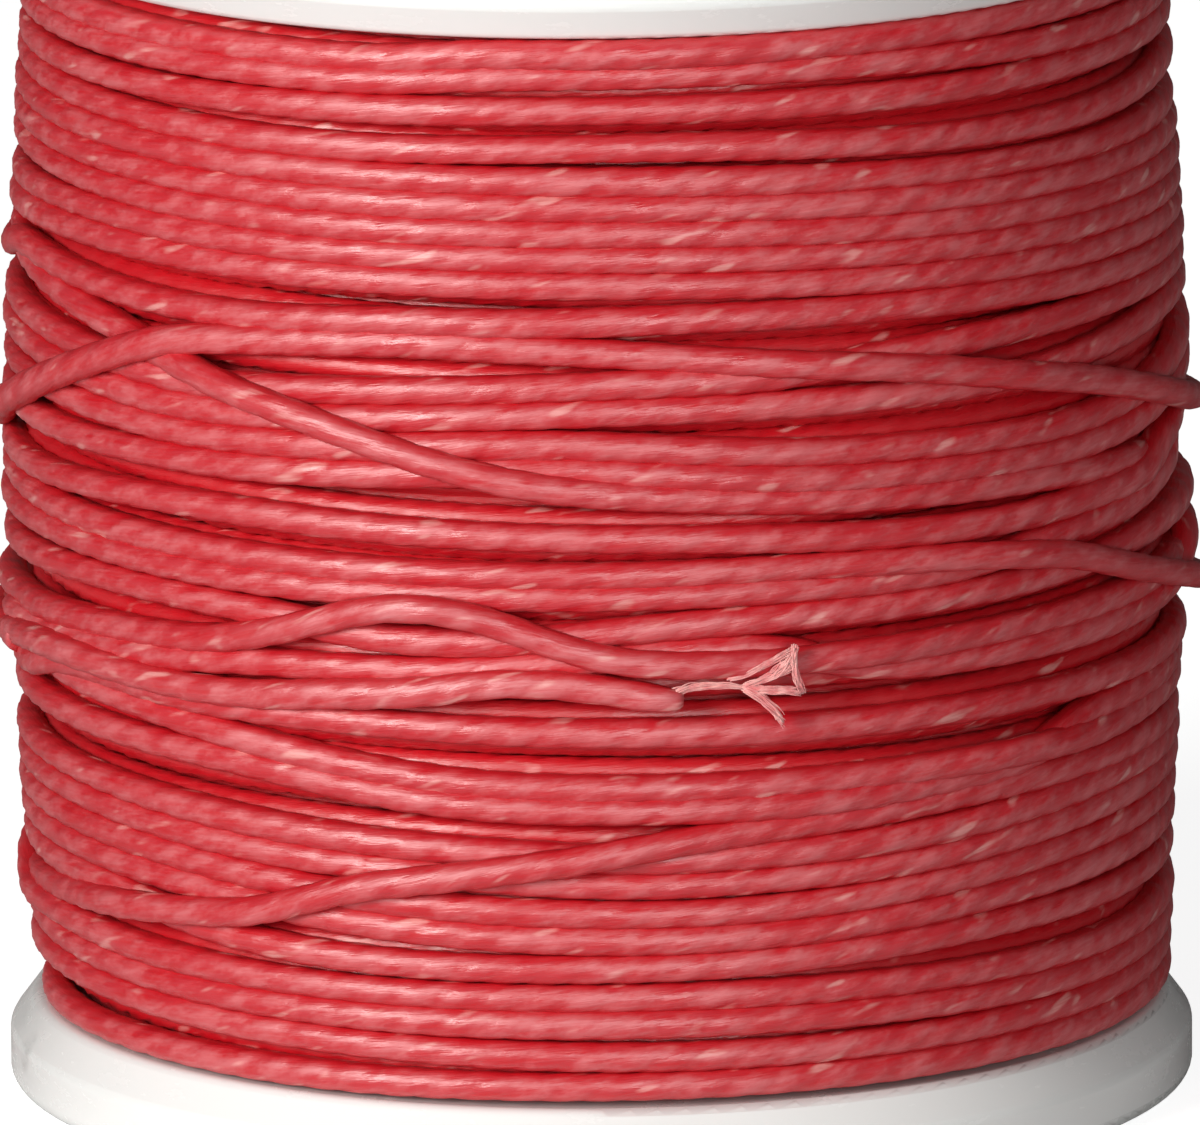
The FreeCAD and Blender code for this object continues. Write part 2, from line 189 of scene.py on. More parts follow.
def makeCordMaterial(look):
    # the pattern lies along the plies: x is the way along the cord, y and z the place in it
    material, tree, shader = newMaterial("waxedCord")
    place = addNode(tree, "ShaderNodeAttribute", attribute_name="cordPlace").outputs["Vector"]
    worn = addNode(tree, "ShaderNodeAttribute", attribute_name="cordWearAndHighlight").outputs["Fac"]
    rubbed = addNode(tree, "ShaderNodeAttribute", attribute_name="cordRubAndShade").outputs["Fac"]
    fibres = noiseOf(tree, stretched(tree, place, look["fibres"]), 1.0, 3.0, 0.6)
    hairs = noiseOf(tree, stretched(tree, place, look["hairs"]), 1.0, 2.0)
    alongCord = addNode(tree, "ShaderNodeSeparateXYZ", {0: place}).outputs[0]
    turned = {"Vector": place, "Angle": sumOf(tree, alongCord, look["lean"], "MULTIPLY")}
    leaning = addNode(tree, "ShaderNodeVectorRotate", turned, rotation_type="X_AXIS").outputs[0]
    blotches = noiseOf(tree, stretched(tree, leaning, look["blotches"]), 1.0, 4.0, 0.62)
    drift = noiseOf(tree, stretched(tree, place, look["drift"]), 1.0, 1.0)
    glints = noiseOf(tree, stretched(tree, leaning, look["glints"]), 1.0, 1.0)
    section = stretched(tree, place, (0, 1, 1))
    out = addNode(tree, "ShaderNodeVectorMath", {0: section}, operation="LENGTH").outputs["Value"]
    groove = between(tree, out, *look["groove"])
    colour = mixColour(tree, between(tree, fibres, 0.25, 0.62), look["deep"], look["body"])

    # the wax's pale bloom, partly painted sheen: in blotches, more on worn stretches and painted
    # highlights, less between the turns as painted shade
    bloomAndSheen = sumOf(tree, blotches, sumOf(tree, drift, 0.35, "MULTIPLY"))
    waxy = between(tree, bloomAndSheen, 0.56, 0.86, 0.0, look["bloomAndSheenShare"])
    waxy = sumOf(tree, waxy, sumOf(tree, worn, look["wornPaleAndHighlight"], "MULTIPLY"))
    waxy = sumOf(tree, waxy, between(tree, fibres, 0.25, 0.7, 0.6), "MULTIPLY")
    waxy = sumOf(tree, waxy, between(tree, rubbed, 0.25, 0.95, 0.15), "MULTIPLY")
    colour = mixColour(tree, waxy, colour, look["bloomAndSheen"])
    # painted shade: the grooves between the plies take some of the deep colour
    colour = mixColour(tree, sumOf(tree, groove, 0.3, "MULTIPLY"), colour, look["deep"])
    # painted shade: the sides of each turn, where it touches its neighbours, take the deep colour
    hidden = between(tree, rubbed, 0.92, 0.2, 0.0, look["sideShade"])
    colour = mixColour(tree, hidden, colour, look["deep"])

    # painted highlights: pale glints of the wax, a few more on worn stretches
    paintedGlints = sumOf(tree, glints, sumOf(tree, worn, 0.1, "MULTIPLY"))
    paintedGlints = between(tree, paintedGlints, 0.65, 0.78, 0.0, look["glintShare"])
    paintedGlints = sumOf(tree, paintedGlints, between(tree, fibres, 0.3, 0.6, 0.5), "MULTIPLY")
    feed(tree, mixColour(tree, paintedGlints, colour, look["glint"]), shader, "Base Color")
    feed(tree, between(tree, blotches, 0.3, 0.75, *look["roughness"]), shader, "Roughness")
    setShader(shader, Specular_IOR_Level=1.0)
    height = sumOf(tree, blotches, sumOf(tree, fibres, 0.6, "MULTIPLY"))
    height = sumOf(tree, height, sumOf(tree, hairs, 0.3, "MULTIPLY"))
    bumpFrom(tree, shader, height, look["fibreHeight"])
    return material


cordMaterial = makeCordMaterial(waxedFinish)

# The twisted cord's shape, for every stretch of it.
cord = {
    "radius": 0.5,
    "lay": 4.35,  # length of one full twist of the three plies
    "plies": 3,
    "plyRadius": 0.44,
    "fibreTwist": 0.15,  # how much of the plies' twist their fibres follow
    "sides": 15,
    "step": 0.36,  # from one ring of the tube to the next
    "hiddenSides": 9,  # the lower turns hardly show
    "hiddenStep": 0.75,
    "countedAt": 19.0,  # radius at which the wound cord's length is counted
    "unevenWidth": 0.03,
    "unevenTwist": 0.5,
    "unevenEvery": 6.0,
    "evenEnds": 6.0,  # near a piece's ends the cord is even, so that the next piece fits on
    "lap": 1.1,  # how far one piece of the cord runs on inside the next
    "lapShrink": 0.06,  # how much thinner it gets there
    "squareness": 2.6,  # 2 is round; packed turns press each other flat
    "seed": 5,
}


def cordSection(settings, sides):
    # the outline of three plies that press on each other, from groove to groove
    plies = settings["plies"]
    offset = settings["radius"] - settings["plyRadius"]
    angles = fullTurn * (np.arange(sides) / sides + 0.5 / plies)
    fromPly = (angles + math.pi / plies) % (fullTurn / plies) - math.pi / plies
    reach = np.sqrt(settings["plyRadius"] ** 2 - (offset * np.sin(fromPly)) ** 2)
    return angles, offset * np.cos(fromPly) + reach


def tubeRings(centres, outward, along, settings, sides, shrink=1.0):
    # every ring is one outline, turned as the plies twist
    angles, radii = cordSection(settings, sides)
    tangents = np.gradient(centres, axis=0)
    tangents /= np.linalg.norm(tangents, axis=1, keepdims=True)
    outward = outward - tangents * np.sum(outward * tangents, axis=1, keepdims=True)
    outward /= np.linalg.norm(outward, axis=1, keepdims=True)
    upward = np.cross(outward, tangents)
    rng = np.random.RandomState(settings["seed"])
    knotEvery = settings["unevenEvery"] / settings["step"]
    even = np.clip(np.minimum(along - along[0], along[-1] - along) / settings["evenEnds"], 0, 1)
    twist = along / settings["lay"] * fullTurn
    uneven = settings["unevenTwist"] * smoothNoise(rng, len(along), 2 * knotEvery)
    twist = twist + even * uneven
    width = 1.0 + even * settings["unevenWidth"] * smoothNoise(rng, len(along), knotEvery)
    turned = angles[None, :] + twist[:, None]
    power = settings["squareness"]
    pressed = (np.abs(np.cos(turned)) ** power + np.abs(np.sin(turned)) ** power) ** (-1 / power)
    reach = radii[None, :] * pressed * (width * shrink)[:, None]
    rings = centres[:, None, :] + reach[:, :, None] * (
        np.cos(turned)[:, :, None] * outward[:, None, :]
        + np.sin(turned)[:, :, None] * upward[:, None, :]
    )
    lying = turned - settings["fibreTwist"] * twist[:, None]
    across = radii * np.cos(lying)
    over = radii * np.sin(lying)
    lengthwise = np.broadcast_to(along[:, None], turned.shape)
    facing = np.clip(np.cos(turned), 0.0, 1.0)  # 1 on the side away from the spool
    return rings, np.stack([lengthwise, across, over], axis=-1), facing


def meshFromRings(name, rings, places, facing, material, wearAndHighlight=0.0, ringsPerRow=330):
    # one tube, closed at both ends; its unfolded surface lies in rows for the textures
    count, sides = rings.shape[:2]
    corner = np.arange(sides)
    nextCorner = (corner + 1) % sides
    first = (np.arange(count - 1) * sides)[:, None]
    quads = np.stack([
        first + corner, first + nextCorner, first + sides + nextCorner, first + sides + corner,
    ], axis=-1).reshape(-1, 4)
    quads = quads[:, ::-1]
    caps = [corner.tolist(), (corner[::-1] + (count - 1) * sides).tolist()]
    mesh = bpy.data.meshes.new(name)
    mesh.from_pydata((rings.reshape(-1, 3) * millimetre).tolist(), [], quads.tolist() + caps)
    mesh.attributes.new("cordPlace", "FLOAT_VECTOR", "POINT").data.foreach_set(
        "vector", places.astype(np.float32).ravel()
    )
    worn = np.broadcast_to(np.reshape(wearAndHighlight, (-1, 1)), (count, sides)).astype(np.float32)
    mesh.attributes.new("cordWearAndHighlight", "FLOAT", "POINT").data.foreach_set("value", worn.ravel())
    rubbed = facing.astype(np.float32).ravel()
    mesh.attributes.new("cordRubAndShade", "FLOAT", "POINT").data.foreach_set("value", rubbed)
    rowCount = math.ceil((count - 1) / ringsPerRow)
    ringOf = np.arange(count - 1)
    row = ringOf // ringsPerRow
    left = (ringOf - row * ringsPerRow) / ringsPerRow
    right = left + 1.0 / ringsPerRow
    low = (row[:, None] + 0.04 + 0.92 * corner / sides) / rowCount
    high = (row[:, None] + 0.04 + 0.92 * (corner + 1) / sides) / rowCount
    left = np.broadcast_to(left[:, None], low.shape)
    right = np.broadcast_to(right[:, None], low.shape)
    spread = np.stack([
        np.stack([left, low], -1), np.stack([left, high], -1),
        np.stack([right, high], -1), np.stack([right, low], -1),
    ], axis=2)[:, :, ::-1].reshape(-1, 2)
    spread = np.concatenate([spread, np.zeros((2 * sides, 2))])
    mesh.uv_layers.new(name="OFBake").data.foreach_set("uv", spread.astype(np.float32).ravel())
    mesh.shade_smooth()
    mesh.materials.append(material)
    made = bpy.data.objects.new(name, mesh)
    bpy.context.scene.collection.objects.link(made)
    return made


# The loose end lies over the turns, from the left edge to a little right of the middle.
looseEnd = {
    "fullestRadius": 20.0,
    "length": 32.5,
    "routeSteps": 12,  # points of the line between two of the route's own
    "endShare": 0.4,  # how thin the cut end is
    "taper": 1.5,  # length over which it gets thin
    "wearAndHighlight": 0.25,
    "paleAndHighlightFromTip": ((0.5, 0.8, 0.6), (6.4, 1.0, 0.5), (9.5, 1.4, 0.3)),  # middle, width, amount; the two away from the tip are painted highlight where the end rises
    "route": (  # angle, distance outside the fullest radius, height
        (-84.0, -0.10, 15.85),
        (-74.0, 0.00, 16.35),
        (-62.0, 0.00, 16.55),
        (-51.8, -0.10, 16.45),
        (-41.3, -0.15, 16.40),
        (-33.0, -0.12, 16.60),
        (-26.7, -0.08, 16.88),
        (-17.3, 0.00, 17.15),
        (-10.4, 0.05, 17.60),
        (-4.0, 0.05, 17.60),
        (1.7, 0.05, 17.35),
        (5.6, 0.10, 17.08),
        (7.9, 0.12, 17.02),
    ),
}


def routePoints(settings):
    # the loose end's own line, read from a smooth curve through its route
    angle, away, height = np.array(settings["route"]).T
    corners = roundTheSpool(angle, settings["fullestRadius"] + away, height) * millimetre
    data = bpy.data.curves.new("looseEndRoute", "CURVE")
    data.dimensions = "3D"
    spline = data.splines.new("NURBS")
    spline.points.add(len(corners) - 1)
    for point, corner in zip(spline.points, corners):
        point.co = (*corner, 1.0)
    spline.order_u = 3
    spline.use_endpoint_u = True
    spline.resolution_u = settings["routeSteps"]
    data.resolution_u = settings["routeSteps"]
    carrier = bpy.data.objects.new("looseEndRoute", data)
    bpy.context.scene.collection.objects.link(carrier)
    bpy.context.view_layer.update()
    line = bpy.data.meshes.new_from_object(carrier)
    points = np.array([tuple(vertex.co) for vertex in line.vertices]) / millimetre
    bpy.data.objects.remove(carrier)
    bpy.data.meshes.remove(line)
    return points


endLine = routePoints(looseEnd)
endSteps = np.linalg.norm(np.diff(endLine, axis=0), axis=1)
print(f"loose end: {len(endLine)} points, {endSteps.sum():.2f} mm long")

# How the winding lies.
winding = {
    "samples": 180,  # places round one turn
    "lowerTurns": 35,
    "upperTurns": 28,
    "lowest": 3.5,  # height of the first and last turns' middles
    "highest": 38.5,
    "bedAtFlange": 17.92,  # radius that the lower turns' middles lie on
    "bedHalfWay": 18.33,
    "belly": (22.0, 7.0, 0.45),  # the lower turns swell: height, width and amount
    "dips": ((90.0, 18.0, 22.4, 0.9, -0.9),),  # angle, width, height, width and amount
    "climb": 0.35,  # how far a plain turn rides up on its neighbours
    "upperBed": 0.78,  # from there to the least radius of the upper turns
    "bedBlend": 60.0,  # degrees over which one layer passes into the next
    "contactWidth": 0.89,  # between the middles of two turns that touch
    "crossingWidth": 0.74,  # where a thrown turn presses on another
    "lowerSway": 0.25,
    "upperSway": 0.4,
    "swayLength": 50.0,
    "swayEdge": 2.0,  # turns sway less so near to a flange
    "likeNeighbour": 0.35,  # how far a turn wanders as the one beside it does
    "upperLevel": 0.9,
    "levelSpread": 0.2,
    "levelBias": 0.15,
    "levelLength": 70.0,
    "levelBlend": 20.0,
    "routeBlend": 12.0,
    "roomForThrown": 0.95,
    "roomBlend": 0.4,
    "roomPastEnd": 45.0,  # degrees past the loose end over which its room closes
    "highLevel": 1.1,  # thrown turns above it may ride higher still, up to so much
    "highClimb": 0.6,
    "pull": 0.05,  # towards a turn's own height, in each round
    "lowerPull": 0.2,
    "thrownPull": 0.3,
    "tension": 0.05,
    "thrownTension": 1.4,
    "slackening": 0.7,
    "lowerGives": 0.35,  # how easily a turn is pushed aside
    "thrownGives": 0.3,
    "push": 0.7,
    "pushes": 2,
    "straightening": 0.45,
    "smoothing": 10,
    "rounds": 130,
    "lastPush": 0.4,
    "lastStraightening": 0.4,
    "lastSmoothing": 3,
    "lastRounds": 6,
    "seed": 11,
}

# The last turns were thrown on by hand: angle, height and how far outside they start, from the
# left edge round to the right and on behind, in the order they were laid.
thrownTurns = (
    (
        (-90, 38.1, 0.9), (-50, 38.05, 0.9), (-20, 38.05, 0.9), (-14, 38.45, 1.0),
        (40, 38.5, 1.0), (100, 38.4, 0.9), (130, 36.6, 1.5), (165, 33.8, 1.5),
        (205, 30.8, 1.5), (240, 29.7, 1.2),
    ),
    (
        (-90, 29.4, 1.0), (-60, 28.2, 1.3), (-43, 27.2, 1.5), (-28, 26.1, 1.5),
        (-13.4, 24.7, 1.5), (-5, 24.1, 1.5), (20, 23.4, 1.2), (50, 23.0, 1.0),
        (90, 21.9, 1.0), (130, 21.8, 0.9), (200, 21.5, 0.9),
    ),
    (
        (-90, 21.4, 0.9), (-60, 21.2, 0.9), (-20, 21.1, 0.9), (20, 21.2, 0.9),
        (37, 21.0, 1.2), (50, 20.5, 1.7), (63, 19.1, 2.2), (78, 17.8, 2.4),
        (90, 16.9, 2.4), (110, 16.2, 2.0), (150, 17.5, 1.6), (210, 21.5, 1.8),
    ),
    (
        (-90, 22.7, 2.4), (-74.6, 24.5, 2.4), (-60, 26.4, 2.4), (-45.8, 28.15, 2.4),
        (-18, 28.85, 2.4), (4.4, 28.5, 2.4), (29.7, 27.7, 2.4), (55.6, 26.0, 2.4),
        (78.7, 23.85, 2.4), (90, 23.1, 2.4), (100, 22.7, 2.0), (140, 21.2, 1.6),
        (200, 18.3, 1.5), (245, 17.0, 1.5),
    ),
    (
        (-90, 16.6, 1.5), (-69.6, 15.6, 1.5), (-52.6, 15.35, 1.5), (-36, 14.8, 1.5),
        (-20, 14.15, 1.5), (-10, 13.9, 1.4), (30, 13.8, 1.2), (90, 13.9, 1.0),
        (110, 13.6, 1.3), (160, 10.8, 1.6), (215, 7.4, 1.4), (250, 7.1, 0.9),
    ),
    (
        (-90, 7.2, 0.9), (-63, 8.1, 1.4), (-35, 9.0, 1.9), (-26, 10.3, 1.9),
        (0, 11.7, 1.9), (10, 12.2, 1.9), (40, 12.8, 1.6), (90, 12.7, 1.2),
        (110, 12.6, 1.5), (150, 13.6, 2.0), (200, 15.8, 2.2), (240, 16.9, 1.8),
    ),
    (
        (-90, 17.0, 1.6), (-75, 17.25, 1.6), (-60.5, 17.7, 1.7), (-51, 17.8, 1.7),
        (-40, 18.1, 1.8), (-33, 18.7, 2.0), (-26, 19.5, 2.2), (-18.9, 20.4, 2.4),
        (-13.3, 20.2, 2.4), (-5.5, 19.15, 2.0), (-2.4, 18.6, 1.8), (3, 18.2, 1.5),
        (20, 18.1, 1.2), (90, 18.2, 1.1), (130, 17.6, 1.4), (200, 16.2, 1.6),
        (250, 15.9, 1.8),
    ),
)

# What stands away from the rest once the turns have settled: turn, angle, width and amount.
standingOff = ((0, 4.0, 14.0, 0.22), (2, 88.0, 12.0, 0.55), (6, -16.5, 6.0, 0.40))
# paler stretches of the thrown turns, as turn, angle, width and amount: worn wax, with painted
# highlight where they ride high
paleStretchesAndHighlights = (
    (6, -32.0, 5.0, 0.5), (6, -18.5, 4.5, 0.8), (1, -24.0, 6.0, 0.3), (4, -36.0, 4.0, 0.5),
)


def bedRadius(angle, height):
    # what the lower turns lie on
    settings = winding
    middle = (settings["lowest"] + settings["highest"]) / 2
    half = (settings["highest"] - settings["lowest"]) / 2
    fall = settings["bedHalfWay"] - settings["bedAtFlange"]
    radius = settings["bedHalfWay"] - fall * ((height - middle) / half) ** 2
    at, wide, amount = settings["belly"]
    radius = radius + amount * np.exp(-(((height - at) / wide) ** 2))
    for side, around, at, wide, amount in settings["dips"]:
        apart = (angle - side + 180.0) % 360.0 - 180.0
        radius = radius + amount * np.exp(-((apart / around) ** 2) - ((height - at) / wide) ** 2)
    return radius


def windCord(settings, thrown, loose):
    # settles the turns as round things in a row of half planes, one plane for each sample
    rng = np.random.RandomState(settings["seed"])
    samples = settings["samples"]
    step = 360.0 / samples
    plainTurns = settings["lowerTurns"] + settings["upperTurns"]
    rows = plainTurns + len(thrown) + 1
    endAngle, endAway, endHeight = np.array(loose["route"]).T
    count = (rows - 1) * samples + int(round((endAngle[-1] + 90.0) / step)) + 1
    turn = np.arange(count) / samples
    isLower = turn < settings["lowerTurns"]
    isThrown = turn >= plainTurns
    lowest, highest = settings["lowest"], settings["highest"]
    span = highest - lowest
    down = highest - span * np.clip(turn / settings["lowerTurns"], 0, 1)
    up = (turn - settings["lowerTurns"]) / (settings["upperTurns"] - 0.5)
    up = lowest + span * np.clip(up, 0, 1)
    plain = np.where(isLower, down, up)

    noise = smoothNoise(rng, count, settings["swayLength"] / step)
    for first in range(samples, count, samples):
        last = min(first + samples, count)
        noise[first:last] += settings["likeNeighbour"] * noise[first - samples:last - samples]
    noise *= math.sqrt(1 - settings["likeNeighbour"] ** 2)
    noise *= np.clip(np.minimum(plain - lowest, highest - plain) / settings["swayEdge"], 0.1, 1)

    routes = [(number, *point) for number, route in enumerate(thrown) for point in route]
    number, angles, heights, levels = np.array(routes).T
    places = plainTurns + number + (angles + 90.0) / 360.0
    endPlaces = rows - 1 + (endAngle + 90.0) / 360.0
    places = np.concatenate([places, endPlaces])
    heights = np.concatenate([heights, endHeight])
    levels = np.concatenate([levels, np.full(len(endPlaces), levels[-1])])
    thrownHeights = np.interp(turn[isThrown], places, heights)
    thrownHeights = blurred(thrownHeights, settings["routeBlend"] / step)
    isLoose = turn >= endPlaces[0]
    endRadius = loose["fullestRadius"] + np.interp(turn[isLoose], endPlaces, endAway)

    # the upper turns make room for the thrown ones and for the loose end
    room = settings["roomForThrown"]
    column = np.arange(count) % samples
    columnAngle = -90.0 + step * np.arange(samples)
    together = thrownHeights[:len(thrown) * samples].reshape(len(thrown), samples)
    together = together[:, column]
    beside = np.interp(columnAngle, endAngle, endHeight)[column]
    past = settings["roomPastEnd"]
    besideShare = np.clip((endAngle[-1] + past - columnAngle) / past, 0, 1)[column]
    packed = lowest + (plain - lowest) / span * (span - room * (len(thrown) + 0.5))
    packed = packed + noise * settings["upperSway"]
    shares = np.ones_like(together)
    together = np.concatenate([together, beside[None]])
    shares = np.concatenate([shares, besideShare[None]])
    order = np.argsort(together, axis=0)
    together = np.take_along_axis(together, order, axis=0)
    shares = np.take_along_axis(shares, order, axis=0)
    for height, part in zip(together, shares):
        share = -(packed - height + room / 2) / settings["roomBlend"]
        packed = packed + part * room / (1 + np.exp(np.clip(share, -40, 40)))
    target = np.where(isLower, plain + noise * settings["lowerSway"], packed)
    target[isThrown] = thrownHeights

    raised = smoothNoise(rng, count, settings["levelLength"] / step) * settings["levelSpread"]
    level = settings["upperLevel"] + np.maximum(0, raised + settings["levelBias"])
    level[isLower] = 0.0
    level[isThrown] = settings["upperLevel"] + np.interp(turn[isThrown], places, levels)
    level = blurred(level, settings["levelBlend"] / step)

    # one row for each turn; the last row's rest isn't cord and is kept far away
    total = rows * samples
    height = np.zeros(total)
    height[:count] = target
    height[count:] = -50.0 - 10.0 * np.arange(total - count)
    radius = np.full(total, 1000.0)
    angles = np.tile(columnAngle, rows)[:count]
    radius[:count] = bedRadius(angles, target) + level
    lift = np.where(isLower, 0.0, settings["upperBed"])
    lift = blurred(lift, settings["bedBlend"] / step)
    climb = np.full(count, settings["climb"])
    above = np.interp(turn[isThrown], places, levels) - settings["highLevel"]
    climb[isThrown] += np.clip(above, 0, settings["highClimb"])
    pull = np.where(isThrown, settings["thrownPull"], settings["pull"])
    pull[isLower] = settings["lowerPull"]
    tension = settings["tension"] * np.where(isThrown, settings["thrownTension"], 1.0)
    gives = np.ones(total)
    gives[:count] = np.where(isLower, settings["lowerGives"], 1.0)
    gives[:count][isThrown] = settings["thrownGives"]
    pressed = np.zeros(total, bool)
    pressed[:count] = isThrown
    one, other = np.triu_indices(rows, 1)

    def pushApart(share):
        grid = height.reshape(rows, samples)
        near, column = np.nonzero(np.abs(grid[other] - grid[one]) < settings["contactWidth"])
        a = one[near] * samples + column
        b = other[near] * samples + column
        rise, out = height[b] - height[a], radius[b] - radius[a]
        apart = np.maximum(np.hypot(rise, out), 1e-6)
        crossing = pressed[a] | pressed[b]
        width = np.where(crossing, settings["crossingWidth"], settings["contactWidth"])
        touching = apart < width
        a, b, rise, out = a[touching], b[touching], rise[touching], out[touching]
        lack = share * (width[touching] - apart[touching]) / apart[touching]
        giving = gives[a] / (gives[a] + gives[b])
        height[:] -= np.bincount(a, rise * lack * giving, total)
        height[:] += np.bincount(b, rise * lack * (1 - giving), total)
        radius[:] -= np.bincount(a, out * lack * 0.5, total)
        radius[:] += np.bincount(b, out * lack * 0.5, total)
        height[:count] = np.clip(height[:count], lowest, highest)
        least = bedRadius(angles, height[:count]) + lift
        radius[:count] = np.clip(radius[:count], least, least + climb)
        radius[:count][isLoose] = endRadius
        height[:count][isLoose] = target[isLoose]

    def straighten(amount, times):
        for values in (radius, height):
            part = values[:count]
            for _ in range(times):
                part[1:-1] += amount * ((part[2:] + part[:-2]) / 2 - part[1:-1])

    for done in range(settings["rounds"]):
        straighten(settings["straightening"], settings["smoothing"])
        height[:count] += pull * (target - height[:count])
        radius[:count] -= tension * (1.0 - settings["slackening"] * done / settings["rounds"])
        for _ in range(settings["pushes"]):
            pushApart(settings["push"])
    pull[~isThrown] = 0.0
    for _ in range(settings["lastRounds"]):
        height[:count] += pull * (target - height[:count])
        pushApart(settings["lastPush"])
        straighten(settings["lastStraightening"], settings["lastSmoothing"])
    radius[:count][isLoose] = endRadius
    height[:count][isLoose] = target[isLoose]
    for number, angle, wide, amount in standingOff:
        apart = (turn - plainTurns - number) * 360.0 - 90.0 - angle
        radius[:count] += amount * np.exp(-((apart / wide) ** 2))
    wound = count - np.count_nonzero(isLoose) + 1
    return radius[:wound], height[:wound]


windRadius, windHeight = windCord(winding, thrownTurns, looseEnd)
print(f"winding settled: {len(windRadius)} places, radius up to {windRadius.max():.2f} mm")

turnLength = fullTurn * cord["countedAt"]


def windingLine(first, last, step):
    # the cord's middle from one turn number to another, at even steps of about so many mm
    samples = winding["samples"]
    count = int(round((last - first) * turnLength / step)) + 1
    turn = np.linspace(first, last, count)
    place = np.clip(turn * samples, 0, len(windRadius) - 1)
    cell = np.clip(np.floor(place).astype(int), 1, len(windRadius) - 3)
    f = (place - cell)[:, None]
    nodes = np.stack([windRadius, windHeight], axis=-1)
    before, here, after, later = (nodes[cell + shift] for shift in (-1, 0, 1, 2))
    smooth = 0.5 * (
        2 * here
        + (after - before) * f
        + (2 * before - 5 * here + 4 * after - later) * f**2
        + (3 * here - before - 3 * after + later) * f**3
    )
    angles = -90.0 + 360.0 * turn
    centres = roundTheSpool(angles, smooth[:, 0], smooth[:, 1])
    outward = roundTheSpool(angles, np.ones(count), np.zeros(count))
    return turn, centres, outward


def makeWindingPiece(name, first, last, node, step, sides):
    # each piece runs on a little way, thinner, inside the one that follows or comes before
    lap = cord["lap"] / turnLength
    turn, centres, outward = windingLine(max(first - lap, 0.0), last + lap, step)
    along = turn * turnLength
    beyond = np.clip(np.maximum(first - turn, turn - last) / lap, 0.0, 1.0)
    thinner = 1.0 - cord["lapShrink"] * beyond
    rings, places, facing = tubeRings(centres, outward, along, cord, sides, thinner)
    # the lower turns show only in the gaps, so all but their last turn take the deep colour all
    # round: painted shade
    if node == "cord_lower_layers":
        facing = facing * np.clip(turn - last + 1.0, 0.0, 1.0)[:, None]
    # paler stretches: worn wax, with painted highlight where the turns ride high
    wearAndHighlight = np.zeros(len(turn))
    for number, angle, wide, amount in paleStretchesAndHighlights:
        apart = (turn - plainTurns - number) * 360.0 - 90.0 - angle
        wearAndHighlight += amount * np.exp(-((apart / wide) ** 2))
    made = meshFromRings(name, rings, places, facing, cordMaterial, wearAndHighlight)
    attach(made, "root")
    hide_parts(node)
    return made


lowerTurns = winding["lowerTurns"]
plainTurns = lowerTurns + winding["upperTurns"]
lastTurn = plainTurns + len(thrownTurns) + (looseEnd["route"][0][0] + 90.0) / 360.0
halfWay = lowerTurns + winding["upperTurns"] // 2
intoEnd = lastTurn + cord["lap"] / turnLength
hiddenTurns = ("cord_lower_layers", cord["hiddenStep"], cord["hiddenSides"])
shownTurns = ("cord_outer_layer", cord["step"], cord["sides"])
makeWindingPiece("winding_lower_turns", 0.0, lowerTurns, *hiddenTurns)
makeWindingPiece("winding_outer_lower_half", lowerTurns, halfWay, *shownTurns)
makeWindingPiece("winding_outer_upper_half", halfWay, plainTurns, *shownTurns)
makeWindingPiece("winding_last_turns", plainTurns, intoEnd, *shownTurns)

# Everything under the lower turns, as one solid ring round the barrel, ribbed by its own turns.
core = {
    "inside": 11.05,
    "bottom": 3.1,
    "top": 38.9,
    "turns": 37,
    "levels": 8,  # edges across one rib
    "ribDepth": 0.42,
    "steps": 150,
    "below": 0.3,
    "alongPerDegree": 0.32,  # how the cord's pattern runs on from rib to rib
    "alongPerRib": 7.0,
}


def makeCore(settings):
    across = np.linspace(-1.0, 1.0, settings["levels"], endpoint=False)
    pitch = (settings["top"] - settings["bottom"]) / settings["turns"]
    middles = settings["bottom"] + pitch * (np.arange(settings["turns"]) + 0.5)
    heights = (middles[:, None] + 0.5 * pitch * across[None, :]).ravel()
    across = np.tile(across, settings["turns"])
    fall = settings["ribDepth"] * (1.0 - np.sqrt(1.0 - 0.95 * across**2))
    outside = bedRadius(0.0, heights) - settings["below"] - fall
    radii = np.concatenate([[settings["inside"]], outside, [settings["inside"]]])
    heights = np.concatenate([[settings["bottom"]], heights, [settings["top"]]])
    steps, sides = settings["steps"], len(radii)
    angles = np.arange(steps) * 360.0 / steps
    corners = np.stack([roundTheSpool(angle, radii, heights) for angle in angles])
    faces = []
    for a in range(steps):
        for c in range(sides):
            b, d = (a + 1) % steps, (c + 1) % sides
            faces.append((a * sides + c, b * sides + c, b * sides + d, a * sides + d))
    mesh = bpy.data.meshes.new("winding_core")
    mesh.from_pydata((corners.reshape(-1, 3) * millimetre).tolist(), [], faces)
    ribs = np.concatenate([[0.0], 0.5 * across, [0.0]])
    rib = np.floor(heights / pitch)
    along = np.add.outer(angles * settings["alongPerDegree"], rib * settings["alongPerRib"])
    ribs = np.tile(ribs, steps)
    places = np.stack([along.ravel(), np.full_like(ribs, 0.2), ribs], axis=-1)
    # it is given no facing values, so it takes the deep colour all over: painted shade
    mesh.attributes.new("cordPlace", "FLOAT_VECTOR", "POINT").data.foreach_set(
        "vector", places.astype(np.float32).ravel()
    )
    mesh.shade_smooth()
    mesh.materials.append(cordMaterial)
    made = bpy.data.objects.new("winding_core", mesh)
    bpy.context.scene.collection.objects.link(made)
    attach(made, "root")
    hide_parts("cord_lower_layers")


makeCore(core)
print("winding made")

